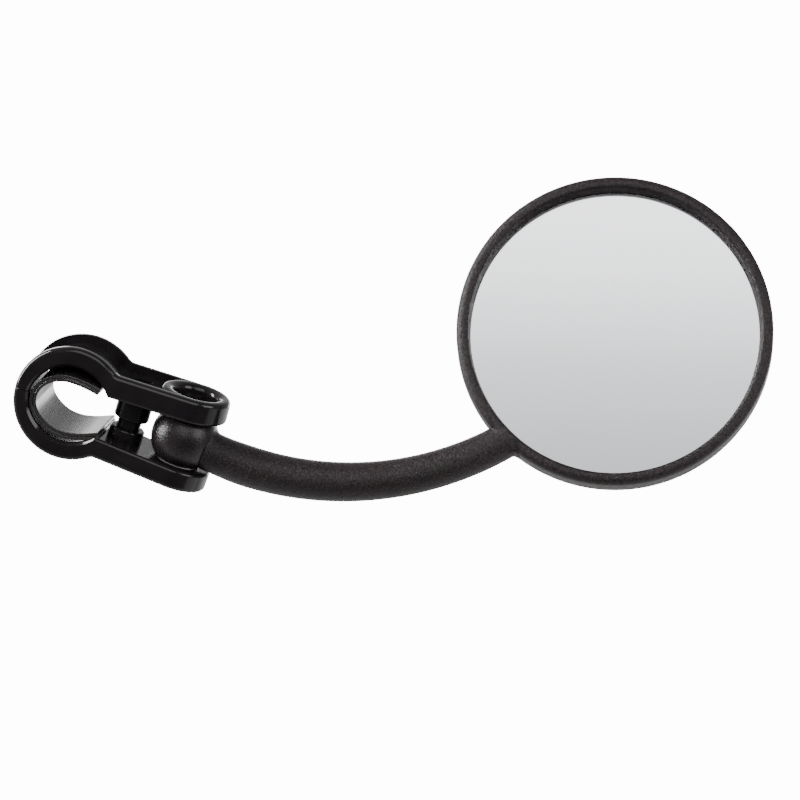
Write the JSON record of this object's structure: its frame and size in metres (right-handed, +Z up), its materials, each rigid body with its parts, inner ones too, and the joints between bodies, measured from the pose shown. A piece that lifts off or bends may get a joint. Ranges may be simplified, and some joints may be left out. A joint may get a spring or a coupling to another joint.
{
  "type": "bike mirror",
  "caption": "Round bicycle rear-view mirror on a curved arm, with a ball joint held in a screw clamp for the handlebar.",
  "frame": {"origin": "centre of the handlebar bore, halfway along it", "axes": "+Y along the handlebar, +X from the handlebar to the ball joint, +Z up along the clamp screw towards its head"},
  "size_m": [0.244, 0.0852, 0.147],
  "materials": {
    "jaw_plastic": "glossy moulded black nylon",
    "ball_plastic": "pebbled black grip coat",
    "arm_plastic": "matte textured black plastic",
    "shim_plastic": "grey matte liner",
    "black_steel": "black oxide steel",
    "zinc_steel": "zinc plated steel",
    "clear_glass": "polished clear glass",
    "silvering": "mirror coating",
    "foam": "soft foam tape"
  },
  "bodies": {
    "lower_jaw": {"lower_jaw": "jaw_plastic", "hinge_pin": "zinc_steel", "screw_nut": "zinc_steel", "outer_bar_shim": "shim_plastic", "inner_bar_shim": "shim_plastic"},
    "upper_jaw": {"upper_jaw": "jaw_plastic"},
    "washer": {"screw_washer": "black_steel"},
    "clamp_screw": {"clamp_screw": "black_steel"},
    "ball_swivel": {"ball_swivel_core": "zinc_steel"},
    "ball_tilt": {"ball_tilt_core": "zinc_steel"},
    "mirror_head": {"pivot_ball": "ball_plastic", "arm_core_rod": "zinc_steel", "mirror_frame": "arm_plastic", "mirror_glass": "clear_glass", "mirror_silvering": "silvering", "foam_ring": "foam", "back_cover": "arm_plastic"}
  },
  "joints": [
    {"name": "screw_lift", "type": "slide", "parent": "lower_jaw", "child": "washer", "axis": [0, 0, 1], "range_m": [0, 0.0024]},
    {"name": "screw_turn", "type": "hinge", "parent": "washer", "child": "clamp_screw", "pos_m": [0.0205, 0, 0], "axis": [0, 0, 1], "range_deg": [0, 1080]},
    {"name": "jaw_hinge", "type": "hinge", "parent": "lower_jaw", "child": "upper_jaw", "pos_m": [-0.01715, 0, -0.0007], "axis": [0, -1, 0], "range_deg": [0, 3.2]},
    {"name": "ball_swivel", "type": "hinge", "parent": "lower_jaw", "child": "ball_swivel", "pos_m": [0.04066, 0, -0.00032], "axis": [0, 0, 1], "range_deg": [-90, 90]},
    {"name": "ball_tilt", "type": "hinge", "parent": "ball_swivel", "child": "ball_tilt", "pos_m": [0.04066, 0, -0.00032], "axis": [-0.0735, -0.9973, 0], "range_deg": [0, 14]},
    {"name": "ball_spin", "type": "hinge", "parent": "ball_tilt", "child": "mirror_head", "pos_m": [0.04066, 0, -0.00032], "axis": [0.9843, -0.0726, -0.1607], "range_deg": [-45, 90]}
  ],
  "couplings": [
    {"joint": "screw_turn", "follows": "screw_lift", "rad_per_m": 7854},
    {"joint": "jaw_hinge", "follows": "screw_lift", "rad_per_m": 22.94}
  ]
}
